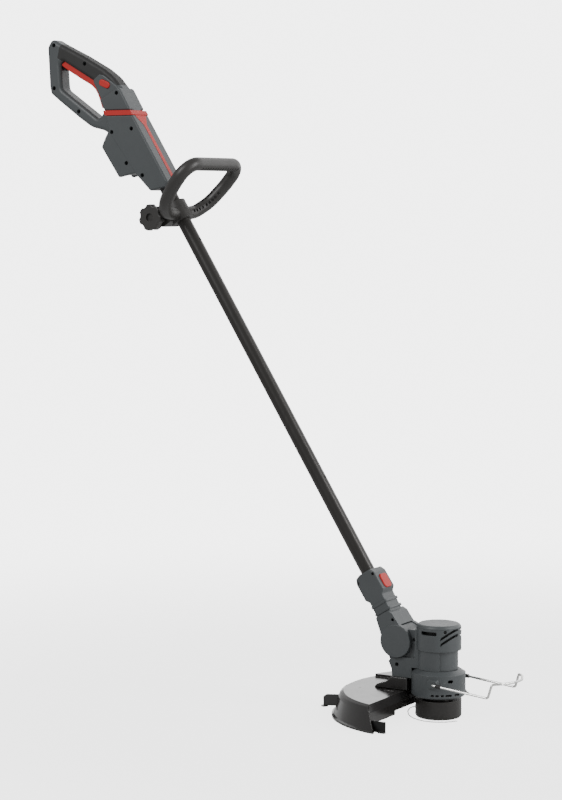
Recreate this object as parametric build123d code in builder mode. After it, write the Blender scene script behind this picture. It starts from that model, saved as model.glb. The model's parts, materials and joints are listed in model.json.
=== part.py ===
"""Cordless string trimmer, modelled piece by piece in millimetres.

+X points forward from the operator to the cutting head, +Y to the left, +Z up.
The origin is the centre of the underside of the line spool, and the spool turns about Z.
The long shaft leans back from the head. Places along it are given as (s, n): s runs up the
shaft from a point just above the neck, n is square to it, towards the front.
"""

import math
import os

from build123d import *

os.makedirs("parts", exist_ok=True)

# ---- Driving dimensions ------------------------------------------------------------------
shaft_lean = 57.83  # degrees between the shaft and the ground
pivot_x, pivot_z = -69.6, 128.5  # tilt pivot of the cutting head
pivot_s, pivot_n = -164.0, -1.0  # the same pivot along and across the shaft
fit = 0.05  # radial play of a pin or shaft in its hole
gap = 0.3  # clearance between pieces that move past each other
wall = 2.5  # wall of the moulded shells

tube_radius, tube_wall = 12.5, 1.5
tube_top, tube_end = 840.0, -74.0

housing_half = 26.0  # half width of the lower rear housing
upper_half = 24.0  # half width of the housing above the red band
ear_half = 19.0
frame_half = 16.5  # half width of the D-shaped handle
rubber = 2.2  # thickness of the soft grip
band_low, band_high = 1040.0, 1049.0  # heights of the red band
trigger_half = 10.0

loop_tilt = 72.5  # degrees between the front loop and the shaft
loop_radius = 12.0
clamp_s = 703.0
knob_s, knob_n = 716.0, -36.0

neck_half = 21.0
ear_radius = 29.0
ear_inner, ear_outer = 20.0, 30.0
barrel_radius = 27.5
barrel_half = 19.7

body_radius = 36.5
body_low = 84.0
collar_radius = 38.8
collar_low = 118.0
waist_radius = 33.5
cap_top = 162.4
ring_radius = 46.5
ring_low, ring_high = 36.0, 78.0

spool_radius = 39.8
spool_height = 32.0
spindle_radius = 4.0

guard_top = 44.0
guard_radius = 172.0
guard_flare = 182.0
guard_low = 1.2
guard_wall = 2.6
guard_front = -52.0

wire_radius = 2.0
wire_pivot_x, wire_pivot_z = 14.0, 65.0
wire_side = 54.0
line_diameter = 1.6

# ---- The shaft's own frame -----------------------------------------------------------------
lean = math.radians(shaft_lean)
up_shaft = Vector(-math.cos(lean), 0, math.sin(lean))
off_shaft = Vector(math.sin(lean), 0, math.cos(lean))
pivot = Vector(pivot_x, 0, pivot_z)
shaft_origin = pivot - up_shaft * pivot_s - off_shaft * pivot_n
SIDE = Plane(origin=shaft_origin, x_dir=up_shaft, z_dir=(0, 1, 0))


def at(s, n, y=0.0):
    """The point at s along the shaft, n in front of it and y to its left."""
    return shaft_origin + up_shaft * s + off_shaft * n + Vector(0, y, 0)


def across(s, n=0.0):
    """A plane square to the shaft, with local x to the left and local y to the front."""
    return Plane(origin=at(s, n), x_dir=(0, 1, 0), z_dir=-up_shaft)


def sideways(s, n, y=0.0):
    """A plane parallel to SIDE through a point, whose normal is +Y."""
    return Plane(origin=at(s, n, y), x_dir=up_shaft, z_dir=(0, 1, 0))


def level_s(z, n):
    """The s of a point n in front of the shaft at the height z."""
    return (z - shaft_origin.Z - n * off_shaft.Z) / up_shaft.Z


def save(piece, name):
    """Label a finished piece and write it."""
    piece.part.label = name
    export_step(piece.part, "parts/" + name + ".step")


def slab(outline, half, radii=None):
    """A prism of an (s, n) outline, the same width on both sides of the middle plane."""
    with BuildPart() as prism:
        with BuildSketch(SIDE):
            with BuildLine():
                if radii is None:
                    Polyline(*outline, close=True)
                else:
                    FilletPolyline(*outline, radius=radii, close=True)
            make_face()
        extrude(amount=half, both=True)
    return prism


def coil_spring(plane, radius, wire, turns, pitch):
    """A round-wire compression spring that stands on a plane."""
    with BuildPart() as spring:
        with BuildLine() as coil:
            Helix(
                pitch=pitch, height=pitch * turns, radius=radius,
                center=plane.origin, direction=plane.z_dir,
            )
        with BuildSketch(Plane(origin=coil.line @ 0, z_dir=coil.line % 0)):
            Circle(wire / 2)
        sweep(is_frenet=True)
    return spring


# ---- Shaft tube ----------------------------------------------------------------------------
pin_hole = 2.2
pin_hole_places = (640.0, 150.0)
with BuildPart() as shaft_tube:
    with BuildSketch(across(tube_top)):
        Circle(tube_radius)
        Circle(tube_radius - tube_wall, mode=Mode.SUBTRACT)
    extrude(amount=tube_top - tube_end)
    for place in pin_hole_places:
        with BuildSketch(Plane(origin=at(place, 0), x_dir=up_shaft, z_dir=off_shaft)):
            Circle(pin_hole)
        extrude(amount=tube_radius + 2, mode=Mode.SUBTRACT)
save(shaft_tube, "shaft_tube")

# ---- Rear housing and D-shaped handle --------------------------------------------------------
# Outer line of the handle, then the finger opening inside it.
frame_outline = [
    (890, 21.5), (956, 22.5), (984, 18), (1009, 7.5), (1053, -18), (1104, -51),
    (1120, -60), (1113, -77), (1049, -112.5), (1036, -117), (1012, -107.5),
    (961, -86), (934, -73), (914, -53), (890, -40),
]
frame_radii = [5, 40, 60, 60, 60, 30, 8, 14, 20, 10, 30, 60, 40, 20, 5]
opening_outline = [
    (1078, -65), (1002, -23), (978, -24), (945, -31), (936, -50), (1029, -91),
]
opening_radii = [6, 20, 20, 6, 7, 12]
edge_round = 7.0


def handle_frame(shrink, half, round_over):
    """The D-shaped handle, shrunk by a skin's thickness, with its long edges rounded."""
    with BuildPart() as frame:
        with BuildSketch(SIDE):
            with BuildLine():
                FilletPolyline(*frame_outline, radius=frame_radii, close=True)
            make_face()
            with BuildSketch(SIDE, mode=Mode.SUBTRACT):
                with BuildLine():
                    FilletPolyline(*opening_outline, radius=opening_radii, close=True)
                make_face()
            if shrink:
                offset(amount=-shrink)
        extrude(amount=half, both=True)
        fillet(frame.faces().filter_by(Axis.Y).edges(), round_over)
    return frame


frame_full = handle_frame(0, frame_half, edge_round)
frame_core = handle_frame(rubber, frame_half - rubber, edge_round - rubber)

grip_zone = slab(
    [
        (1082, -68), (1003, -24), (1004, -4), (998, 3), (966, 17), (957, 40),
        (1010, 40), (1120, -20), (1104, -45),
    ],
    40,
)
trigger_slot = slab(
    [(1073, -78), (1076, -46), (1001, -9), (972, -9), (944, -17), (936, -44)],
    trigger_half + 2 * gap,
)
switch_room = slab([(947, -18), (992, -18), (988, 3), (950, 10)], 9)

lower_outline = [
    (757, 22), (750, 13), (762, -19), (806, -30), (890, -38), (level_s(band_low, -29), -29),
    (level_s(band_low, 22), 22),
]
lower_radii = [4, 2, 4, 8, 20, 2, 2]
upper_outline = [
    (level_s(band_high, 22), 22), (level_s(band_high, -27), -27), (962, -25), (960, 23),
]
upper_radii = [3, 2, 4, 8]
ear_outline = [(945, -26), (1003, -22), (1004, -4), (998, 3), (966, 17), (945, 20)]
ear_radii = [2, 6, 4, 4, 8, 2]
foot_outline = [(803, -20), (819.5, -64.5), (887, -67.5), (898, -50), (912, -20)]
foot_radii = [4, 4, 5, 8, 4]
seam_round = 3.0


def rounded_slab(outline, half, radii, round_over):
    """A prism whose two outlines are rounded over."""
    prism = slab(outline, half, radii)
    with BuildPart() as soft:
        add(prism.part)
        fillet(soft.faces().filter_by(Axis.Y).edges(), round_over)
    return soft


housing_lower = rounded_slab(lower_outline, housing_half, lower_radii, seam_round)
housing_upper = rounded_slab(upper_outline, upper_half, upper_radii, seam_round)
housing_ear = rounded_slab(ear_outline, ear_half, ear_radii, seam_round - 1)
housing_foot = rounded_slab(foot_outline, housing_half - 0.5, foot_radii, seam_round)

band_plug_half = 19.0
band_zone = slab(
    [
        (level_s(band_low, 30), 30), (level_s(band_high, 30), 30),
        (level_s(band_high, -34), -34), (level_s(band_low, -34), -34),
    ],
    40,
)
band_plug = slab(
    [
        (level_s(band_low - 4, 18), 18), (level_s(band_high + 4, 18), 18),
        (level_s(band_high + 4, -22), -22), (level_s(band_low - 4, -22), -22),
    ],
    band_plug_half,
)
electronics_room = slab([(848, -24), (848, 17), (899, 17), (925, -24)], housing_half - 2 * wall)
upper_room = slab([(915, -17), (899, 12), (938, 14), (948, -21)], 15)
socket_room = slab([(800, -46), (886, -46), (886, -80), (800, -80)], 19)

stripe_half, stripe_depth = 4.5, 1.6
with BuildPart() as stripe_groove:
    with BuildSketch(Plane(origin=at(0, 22), x_dir=up_shaft, z_dir=off_shaft)):
        with BuildLine():
            Polyline(
                (762, -stripe_half), (878, -stripe_half), (895, -16), (908, -16),
                (908, 16), (895, 16), (878, stripe_half), (762, stripe_half), close=True,
            )
        make_face()
    extrude(amount=stripe_depth, both=True)

boss_radius = 5.5
spring_s, spring_n, spring_pocket = 1008.0, -9.0, 4.4
screw_places = [
    (1106.5, -62), (1039.7, -104), (973, -80), (1039.2, -22), (952, 13), (878.7, 7),
    (897, -33), (832.2, -36), (794.6, -18),
]
screw_head, screw_shank = 3.9, 1.5
head_depth = 5.0
lock_s, lock_n = 982.0, -2.6
lock_tilt = -35.0
lock_length, lock_width = 24.0, 12.0


def lock_sketch_plane(y):
    """The plane of the lock-off button's face, turned along the grip."""
    turn = math.radians(lock_tilt)
    along = up_shaft * math.cos(turn) + off_shaft * math.sin(turn)
    return Plane(origin=at(lock_s, lock_n, y), x_dir=along, z_dir=(0, 1, 0))


with BuildPart() as rear_body:
    add(frame_full.part)
    add(grip_zone.part, mode=Mode.SUBTRACT)
    add(frame_core.part)
    add(housing_ear.part)
    add(housing_lower.part)
    add(housing_upper.part)
    add(housing_foot.part)
    add(band_zone.part, mode=Mode.SUBTRACT)
    add(band_plug.part)
    add(electronics_room.part, mode=Mode.SUBTRACT)
    add(upper_room.part, mode=Mode.SUBTRACT)
    add(socket_room.part, mode=Mode.SUBTRACT)
    add(trigger_slot.part, mode=Mode.SUBTRACT)
    add(switch_room.part, mode=Mode.SUBTRACT)
    add(stripe_groove.part, mode=Mode.SUBTRACT)
    with BuildSketch(sideways(878.7, 7)):
        Circle(boss_radius)
    extrude(amount=housing_half - wall, both=True)
    with BuildSketch(Plane(origin=at(spring_s, -20), x_dir=up_shaft, z_dir=off_shaft)):
        Circle(spring_pocket)
    extrude(amount=spring_n + 20.5, mode=Mode.SUBTRACT)
    with BuildSketch(across(tube_top + 8)):
        Circle(tube_radius + fit)
    extrude(amount=110, mode=Mode.SUBTRACT)


def screw_places_cut(target_half):
    """Head recess and shank hole of each housing screw, drilled from the right side."""
    with BuildPart() as drills:
        for s, n in screw_places:
            with BuildSketch(sideways(s, n, -target_half - 20)):
                Circle(screw_head)
            extrude(amount=20 + target_half - head_depth)
            with BuildSketch(sideways(s, n, -head_depth)):
                Circle(screw_shank)
            extrude(amount=head_depth + 7)
    return drills


screw_drills = screw_places_cut(housing_half)
with BuildPart() as lock_hole:
    with BuildSketch(lock_sketch_plane(0)):
        SlotOverall(lock_length + 2 * gap, lock_width + 2 * gap)
    extrude(amount=ear_half + 10, both=True)
pin_s, pin_n, pin_radius = 1066.0, -52.5, 2.0
pin_half = 12.3
with BuildPart() as pin_drill:
    with BuildSketch(sideways(pin_s, pin_n)):
        Circle(pin_radius)
    extrude(amount=pin_half, both=True)
with BuildPart() as rear_drilled:
    add(rear_body.part)
    add(screw_drills.part, mode=Mode.SUBTRACT)
    add(lock_hole.part, mode=Mode.SUBTRACT)
    add(pin_drill.part, mode=Mode.SUBTRACT)
middle = Plane.XZ
with BuildPart() as rear_shell_right:
    add(rear_drilled.part)
    split(bisect_by=middle, keep=Keep.TOP)
save(rear_shell_right, "rear_shell_right")
with BuildPart() as rear_shell_left:
    add(rear_drilled.part)
    split(bisect_by=middle, keep=Keep.BOTTOM)
save(rear_shell_left, "rear_shell_left")
with BuildPart() as soft_grip:
    add(frame_full.part)
    add(grip_zone.part, mode=Mode.INTERSECT)
    add(frame_core.part, mode=Mode.SUBTRACT)
    add(housing_ear.part, mode=Mode.SUBTRACT)
    add(housing_upper.part, mode=Mode.SUBTRACT)
    add(trigger_slot.part, mode=Mode.SUBTRACT)
    add(screw_drills.part, mode=Mode.SUBTRACT)
save(soft_grip, "soft_grip")


# Red trim: the band round the housing and the stripe down its front.
band_front, band_back = 22.8, -28.5
with BuildPart() as red_band:
    add(
        slab(
            [
                (level_s(band_low, band_front), band_front),
                (level_s(band_high, band_front), band_front),
                (level_s(band_high, band_back), band_back),
                (level_s(band_low, band_back), band_back),
            ],
            housing_half + 0.3,
            [1.5, 1.5, 1.5, 1.5],
        ).part
    )
    add(band_plug.part, mode=Mode.SUBTRACT)
save(red_band, "red_band")

with BuildPart() as red_stripe:
    add(stripe_groove.part)
    add(band_zone.part, mode=Mode.SUBTRACT)
    with BuildSketch(Plane(origin=at(830, 22.4), x_dir=up_shaft, z_dir=off_shaft)):
        Rectangle(200, 60)
    extrude(amount=6, mode=Mode.SUBTRACT)
save(red_stripe, "red_stripe")

# ---- Trigger, lock-off bolt and switch -------------------------------------------------------
trigger_outline = [
    (1070, -72), (1047, -60.5), (1025, -48.5), (1001, -34.5), (990, -31), (978, -31),
    (951, -36.5), (950, -30), (976, -24), (1003, -19), (1062, -46), (1071, -50),
]
trigger_radii = [3, 20, 40, 14, 10, 10, 2, 2, 8, 8, 6, 4]
with BuildPart() as trigger:
    add(slab(trigger_outline, trigger_half, trigger_radii).part)
    fillet(trigger.faces().filter_by(Axis.Y).edges(), 1.5)
    with BuildSketch(sideways(pin_s, pin_n, -trigger_half)):
        Circle(pin_radius + fit)
    extrude(amount=2 * trigger_half, mode=Mode.SUBTRACT)
save(trigger, "trigger")

with BuildPart() as trigger_pin:
    with BuildSketch(sideways(pin_s, pin_n)):
        Circle(pin_radius)
    extrude(amount=pin_half - 0.5, both=True)
save(trigger_pin, "trigger_pin")

lock_proud = 2.5
with BuildPart() as lock_off_bolt:
    with BuildSketch(lock_sketch_plane(0)):
        SlotOverall(lock_length, lock_width)
    extrude(amount=ear_half + lock_proud, both=True)
    fillet(lock_off_bolt.faces().filter_by(Axis.Y).edges(), 1.6)
save(lock_off_bolt, "lock_off_bolt")

with BuildPart() as trigger_switch:
    with BuildSketch(sideways(958, -7)):
        RectangleRounded(16, 12, 1)
    extrude(amount=7, both=True)
    with BuildSketch(Plane(origin=at(958, -13), x_dir=up_shaft, z_dir=-off_shaft)):
        Circle(2)
    extrude(amount=4)
save(trigger_switch, "trigger_switch")

trigger_spring = coil_spring(
    Plane(origin=at(spring_s, spring_n), x_dir=up_shaft, z_dir=off_shaft * -1), 3.2, 0.8, 3, 1.7
)
save(trigger_spring, "trigger_spring")

# ---- Electronics, battery socket and cable ---------------------------------------------------
board_y = 6.0
with BuildPart() as controller_board:
    with BuildSketch(sideways(861.5, -3, board_y)):
        Rectangle(22, 32)
    extrude(amount=1.6)
    with BuildSketch(sideways(861.5, -3, board_y + 1.6)):
        with GridLocations(0, 15, 1, 2):
            Rectangle(14, 9)
    extrude(amount=7)
save(controller_board, "controller_board")

rail_s, rail_n = 852.5, -57.0
rail_long, rail_high = 60.0, 4.0
with BuildPart() as battery_rails:
    for side in (-1, 1):
        with BuildSketch(sideways(rail_s, rail_n, side * 17.5)):
            Rectangle(rail_long, rail_high)
        extrude(amount=1.5, both=True)
save(battery_rails, "battery_rails")

with BuildPart() as battery_terminals:
    with BuildSketch(across(886, -55)):
        Rectangle(24, 12)
    extrude(amount=6)
    for blade_y in (-8, 0, 8):
        with BuildSketch(sideways(874, -55, blade_y)):
            Rectangle(13, 8)
        extrude(amount=0.5, both=True)
save(battery_terminals, "battery_terminals")

cable_radius = 2.5
with BuildPart() as power_cable:
    with BuildSketch(across(tube_top + 6)):
        Circle(cable_radius)
    extrude(amount=tube_top + 6 - tube_end)
save(power_cable, "power_cable")

with BuildPart() as housing_screws:
    for s, n in screw_places:
        with BuildSketch(sideways(s, n, -head_depth)):
            Circle(screw_head - 0.6)
            with Locations((0, 0)):
                RegularPolygon(1.6, 6, mode=Mode.SUBTRACT)
        extrude(amount=-2.4)
        with BuildSketch(sideways(s, n, -head_depth - 0.6)):
            Circle(screw_shank - fit)
        extrude(amount=head_depth + 6.5)
save(housing_screws, "housing_screws")

# ---- Front loop handle and its clamp ---------------------------------------------------------
tilt = math.radians(loop_tilt)
loop_up = up_shaft * math.cos(tilt) + off_shaft * math.sin(tilt)
LOOP = Plane(origin=at(clamp_s, 3), x_dir=(0, 1, 0), z_dir=Vector(0, 1, 0).cross(loop_up))
loop_half = [(14, -4), (47, 0), (73, 23), (84, 62), (86, 112)]
loop_turns = [60, 30, 50, 80, 28]
loop_points = loop_half + [(-x, y) for x, y in reversed(loop_half)]
clamp_radius, clamp_low, clamp_high = 19.5, 686.0, 722.0
lug_half = 22.0
slit_half = 1.5
bolt_radius = 3.0
# The cross bar has slanted slots low on its front; each leg has two rows of pockets inside.
bar_slots, bar_pitch, bar_shift, bar_height = 15, 8.2, 6.0, 112.0
bar_lean, pocket_lean = math.radians(20), math.radians(30)
slot_deep = 2.6
pocket_count, pocket_start, pocket_pitch = 9, 49.0, 9.2
with BuildPart() as front_handle:
    with BuildLine(LOOP) as loop_line:
        FilletPolyline(*loop_points, radius=loop_turns + loop_turns[::-1], close=True)
    with BuildSketch(Plane(origin=loop_line.line @ 0, z_dir=loop_line.line % 0)):
        Circle(loop_radius)
    sweep()
    with BuildSketch(across(clamp_high)):
        Circle(clamp_radius)
    extrude(amount=clamp_high - clamp_low)
    add(slab([(693, -10), (730, -10), (730, -42), (724, -47), (706, -47), (693, -32)],
             lug_half, [2, 2, 6, 6, 6, 6]).part)
    with BuildSketch(across(clamp_high + 20)):
        Circle(tube_radius + 2 * fit)
    extrude(amount=80, mode=Mode.SUBTRACT)
    add(slab([(670, -5), (740, -5), (740, -60), (670, -60)], slit_half).part,
        mode=Mode.SUBTRACT)
    with BuildSketch(sideways(knob_s, knob_n, -lug_half - 5)):
        Circle(bolt_radius)
    extrude(amount=2 * lug_half + 10, mode=Mode.SUBTRACT)
    for place in range(bar_slots):
        along = (place - bar_slots // 2) * bar_pitch + bar_shift
        facing = LOOP.z_dir * math.cos(bar_lean) - loop_up * math.sin(bar_lean)
        foot = LOOP.from_local_coords((along, bar_height, 0)) + facing * (loop_radius - slot_deep)
        with BuildSketch(Plane(origin=foot, x_dir=(0, 1, 0), z_dir=facing)):
            SlotOverall(11, 3.4, rotation=60)
        extrude(amount=slot_deep + 3, mode=Mode.SUBTRACT)
    line = loop_line.wire()
    for place in range(pocket_count):
        share = (pocket_start + place * pocket_pitch) / line.length
        for part_way in (share, 1 - share):
            run = line % part_way
            inner = run.cross(LOOP.z_dir) * -1
            for lean in (-pocket_lean, pocket_lean):
                facing = inner * math.cos(lean) + LOOP.z_dir * math.sin(lean)
                foot = line @ part_way + facing * (loop_radius - slot_deep)
                with BuildSketch(Plane(origin=foot, x_dir=run, z_dir=facing)):
                    RectangleRounded(5.0, 5.0, 1)
                extrude(amount=slot_deep + 3, mode=Mode.SUBTRACT)
save(front_handle, "front_handle")

washer_thick = 1.5
with BuildPart() as clamp_washer:
    with BuildSketch(sideways(knob_s, knob_n, -lug_half)):
        Circle(10)
        Circle(bolt_radius + fit, mode=Mode.SUBTRACT)
    extrude(amount=-washer_thick)
save(clamp_washer, "clamp_washer")

knob_face = lug_half + washer_thick + 0.1
knob_radius, knob_thick, hub_thick = 24.0, 14.0, 5.0
with BuildPart() as clamp_bolt:
    with BuildSketch(sideways(knob_s, knob_n, lug_half)):
        RegularPolygon(6.5, 6)
    extrude(amount=4)
    with BuildSketch(sideways(knob_s, knob_n, lug_half)):
        Circle(bolt_radius)
    extrude(amount=-(lug_half + knob_face + 12))
save(clamp_bolt, "clamp_bolt")

with BuildPart() as star_knob:
    with BuildSketch(sideways(knob_s, knob_n, -knob_face)):
        Circle(9)
    extrude(amount=-hub_thick)
    with BuildSketch(sideways(knob_s, knob_n, -knob_face - hub_thick)):
        Circle(knob_radius)
        with PolarLocations(knob_radius + 6.5, 7):
            Circle(9.5, mode=Mode.SUBTRACT)
    extrude(amount=-knob_thick)
    fillet(star_knob.faces().filter_by(Axis.Y).sort_by(Axis.Y)[0].edges(), 2)
    with BuildSketch(sideways(knob_s, knob_n, -knob_face - hub_thick - knob_thick)):
        Circle(7.5)
    extrude(amount=4, mode=Mode.SUBTRACT)
    with BuildSketch(sideways(knob_s, knob_n, -knob_face)):
        Circle(bolt_radius + fit)
    extrude(amount=-12.5, mode=Mode.SUBTRACT)
save(star_knob, "star_knob")

# ---- Neck: two shells that hold the tube and carry the tilt pivot ------------------------------
neck_outline = [
    (-33, 16), (-42, 21), (-74, 22), (-81, 15), (-118, 14.5), (-125, 18.5), (-148, 18.5),
    (-148, -17), (-84, -15.5), (-77, -21.5), (-46, -22), (-36, -18), (-33, -9),
]
neck_radii = [3, 4, 4, 6, 4, 4, 2, 2, 6, 4, 4, 4, 3]
arm_outline = [(-112, 13), (-120, 18), (-146, 20), (-164, 18), (-164, -22), (-140, -20), (-112, -14)]
arm_radii = [2, 8, 8, 2, 2, 8, 2]
barrel_clear = ear_radius + gap
rib_places = (-94.0, -108.0)
rib_half = 2.0
pivot_pin_radius, pivot_pin_half = 6.0, 26.0
button_low, button_high, button_half = -74.0, -48.0, 12.0
button_n, button_proud_n = 17.2, 24.0
button_round = 6.5
pocket_n = 14.2

with BuildPart() as neck_body:
    add(rounded_slab(neck_outline, neck_half, neck_radii, 2.5).part)
    for place in rib_places:
        with BuildSketch(across(place + rib_half)):
            RectangleRounded(2 * neck_half + 2.5, 35, 4)
        extrude(amount=2 * rib_half)
    add(slab(arm_outline, ear_outer - 2, arm_radii).part)
    with BuildSketch(sideways(pivot_s, pivot_n, -ear_outer)):
        Circle(ear_radius)
    extrude(amount=2 * ear_outer)
    fillet(neck_body.faces().filter_by(Axis.Y).sort_by(Axis.Y)[0].edges(), 1.5)
    fillet(neck_body.faces().filter_by(Axis.Y).sort_by(Axis.Y)[-1].edges(), 1.5)
    with BuildSketch(sideways(pivot_s, pivot_n, -ear_inner)):
        Circle(barrel_clear)
        with Locations((-20, 0)):
            Rectangle(40, 70)
    extrude(amount=2 * ear_inner, mode=Mode.SUBTRACT)
    with BuildSketch(across(tube_end - 0.5)):
        Circle(tube_radius + fit)
    extrude(amount=-60, mode=Mode.SUBTRACT)
    with BuildSketch(across(-80)):
        Rectangle(24, 20)
    extrude(amount=48, mode=Mode.SUBTRACT)
    with BuildSketch(across(-60)):
        Circle(6)
    extrude(amount=60, mode=Mode.SUBTRACT)
    with BuildSketch(sideways(pivot_s, pivot_n, -pivot_pin_half)):
        Circle(pivot_pin_radius)
    extrude(amount=2 * pivot_pin_half, mode=Mode.SUBTRACT)
    with BuildSketch(Plane(origin=at(-61, pocket_n), x_dir=up_shaft, z_dir=off_shaft)):
        RectangleRounded(
            button_high - button_low + 2 * gap, 2 * (button_half + gap), button_round + gap
        )
    extrude(amount=15, mode=Mode.SUBTRACT)
neck_screw_places = [(-43.0, 17.0), (-44.0, -17.8), (-130.0, 13.5)]
neck_head, neck_depth = 2.8, 16.0
with BuildPart() as neck_drills:
    for s, n in neck_screw_places:
        with BuildSketch(sideways(s, n, -40)):
            Circle(neck_head)
        extrude(amount=40 - neck_depth)
        with BuildSketch(sideways(s, n, -neck_depth)):
            Circle(screw_shank)
        extrude(amount=neck_depth + 12)
for name, kept in (("neck_shell_right", Keep.TOP), ("neck_shell_left", Keep.BOTTOM)):
    with BuildPart() as neck_shell:
        add(neck_body.part)
        add(neck_drills.part, mode=Mode.SUBTRACT)
        split(bisect_by=middle, keep=kept)
    save(neck_shell, name)

with BuildPart() as neck_screws:
    for s, n in neck_screw_places:
        with BuildSketch(sideways(s, n, -neck_depth)):
            Circle(neck_head - 0.3)
        extrude(amount=-2.2)
        with BuildSketch(sideways(s, n, -neck_depth - 0.5)):
            Circle(screw_shank - fit)
        extrude(amount=neck_depth + 12)
save(neck_screws, "neck_screws")

with BuildPart() as release_button:
    with BuildSketch(Plane(origin=at(-61, button_n), x_dir=up_shaft, z_dir=off_shaft)):
        RectangleRounded(button_high - button_low, 2 * button_half, button_round)
    extrude(amount=button_proud_n - button_n)
    fillet(release_button.faces().filter_by(GeomType.PLANE).sort_by_distance(at(-61, 60))[0].edges(),
           1.5)
save(release_button, "release_button")

with BuildPart() as button_spring:
    with BuildSketch(Plane(origin=at(-61, pocket_n), x_dir=up_shaft, z_dir=off_shaft)):
        Circle(6)
        Circle(4.5, mode=Mode.SUBTRACT)
    extrude(amount=0.4)
save(button_spring, "button_spring")

with BuildPart() as pivot_pin:
    with BuildSketch(sideways(pivot_s, pivot_n, -pivot_pin_half)):
        Circle(pivot_pin_radius)
    extrude(amount=2 * pivot_pin_half)
save(pivot_pin, "pivot_pin")

# ---- Cutting head: shells, deck ring and motor cap ---------------------------------------------
louvre_half_angle = 61.0
cap_bottom = 156.0
tongue_wide = 24.0
tongue_wide_outline = [
    (-34, 152), (-26, 152), (-26, 66), (-78, 66), (-79, 78), (-85, 92), (-78, 101), (-34, 101),
]


def head_slab(outline, half):
    """A prism of an (x, z) outline, the same width on both sides of the middle plane."""
    with BuildPart() as prism:
        with BuildSketch(Plane.XZ):
            with BuildLine():
                Polyline(*outline, close=True)
            make_face()
        extrude(amount=half, both=True)
    return prism


def head_bore(radius, half):
    """A cylinder about the tilt pivot."""
    with BuildPart() as bore:
        with BuildSketch(Plane.XZ):
            with Locations((pivot_x, pivot_z)):
                Circle(radius)
        extrude(amount=half, both=True)
    return bore


def turned(profile):
    """A solid of revolution about the spool's axis, from an (r, z) profile."""
    with BuildPart() as solid:
        with BuildSketch(Plane.XZ):
            with BuildLine():
                Polyline(*profile, close=True)
            make_face()
        revolve(axis=Axis.Z)
    return solid


def front_wedge(low, high, half_angle):
    """A slice of cake round the front, between two heights."""
    reach = 80
    side = reach * math.tan(math.radians(half_angle))
    with BuildPart() as wedge:
        with BuildSketch(Plane.XY.offset(low)):
            with BuildLine():
                Polyline((0, 0), (reach, -side), (reach, side), close=True)
            make_face()
        extrude(amount=high - low)
    return wedge


with BuildPart() as head_body:
    with BuildSketch(Plane.XY.offset(body_low)):
        Circle(body_radius)
    extrude(amount=cap_bottom - body_low)
    add(head_slab(tongue_wide_outline, tongue_wide).part)
    add(head_bore(ear_radius + 0.8, 60).part, mode=Mode.SUBTRACT)
    fillet(head_body.edges().filter_by(Axis.Z).sort_by(Axis.X)[0:2], 3)
    with BuildSketch(Plane.XZ):
        with Locations((pivot_x, pivot_z)):
            Circle(barrel_radius)
        with BuildLine():
            Polyline((-92, 112), (-84, 94), (-30, 94), (-30, 149.5), (-52, 149.5), close=True)
        make_face()
    extrude(amount=barrel_half, both=True)
    with BuildSketch(Plane.XY.offset(collar_low)):
        Circle(collar_radius)
    extrude(amount=cap_bottom - collar_low)
    add(front_wedge(body_low, collar_low, louvre_half_angle).part, mode=Mode.SUBTRACT)
    with BuildSketch(Plane.XY.offset(body_low)):
        Circle(waist_radius)
    extrude(amount=collar_low - body_low)
    with BuildSketch(Plane.XY.offset(body_low - 30)):
        Circle(ring_radius + 0.1)
    extrude(amount=30.2, mode=Mode.SUBTRACT)
    with BuildSketch(Plane.XY.offset(body_low)):
        Circle(waist_radius - wall)
    extrude(amount=cap_bottom - body_low, mode=Mode.SUBTRACT)
    with BuildSketch(Plane.XY.offset(collar_low + 4)):
        Circle(body_radius - wall)
    extrude(amount=cap_bottom - collar_low, mode=Mode.SUBTRACT)
    add(head_bore(pivot_pin_radius + fit, 60).part, mode=Mode.SUBTRACT)

# Louvres rise towards the front; the slot vents face sideways below the cap.
louvre_back, louvre_slope, louvre_high = 19.0, 0.84, 4.8
louvre_bases = (137.0, 127.5)
slot_vent_half, slot_vent_high = 14.5, 6.5
with BuildPart() as vents:
    for base in louvre_bases:
        rise = louvre_slope * 24
        add(
            head_slab(
                [
                    (louvre_back, base), (louvre_back + 24, base + rise),
                    (louvre_back + 24, base + rise + louvre_high),
                    (louvre_back, base + louvre_high),
                ],
                collar_radius + 5,
            ).part
        )
    with BuildSketch(Plane.XY.offset(80)):
        Rectangle(110, 7)
    extrude(amount=100, mode=Mode.SUBTRACT)
    for side in (-1, 1):
        with BuildSketch(Plane(origin=(-0.5, side * 30, 149.5), x_dir=(1, 0, 0), z_dir=(0, side, 0))):
            RectangleRounded(2 * slot_vent_half, slot_vent_high, 2)
        extrude(amount=20)

head_screw_places = [(-37.1, 132.7), (-68.8, 87.2)]
head_depth_y = 14.0
cap_screw_turn = math.radians(-47.0)
cap_screw_out = Vector(math.cos(cap_screw_turn), math.sin(cap_screw_turn), 0)
cap_screw_z, cap_screw_floor, cap_screw_head = 152.8, 36.3, 2.6


def cap_screw_plane(reach):
    """A plane across the screw that holds the cap, at a distance from the spool's axis."""
    return Plane(
        origin=cap_screw_out * reach + Vector(0, 0, cap_screw_z), x_dir=(0, 0, 1),
        z_dir=cap_screw_out,
    )


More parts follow.
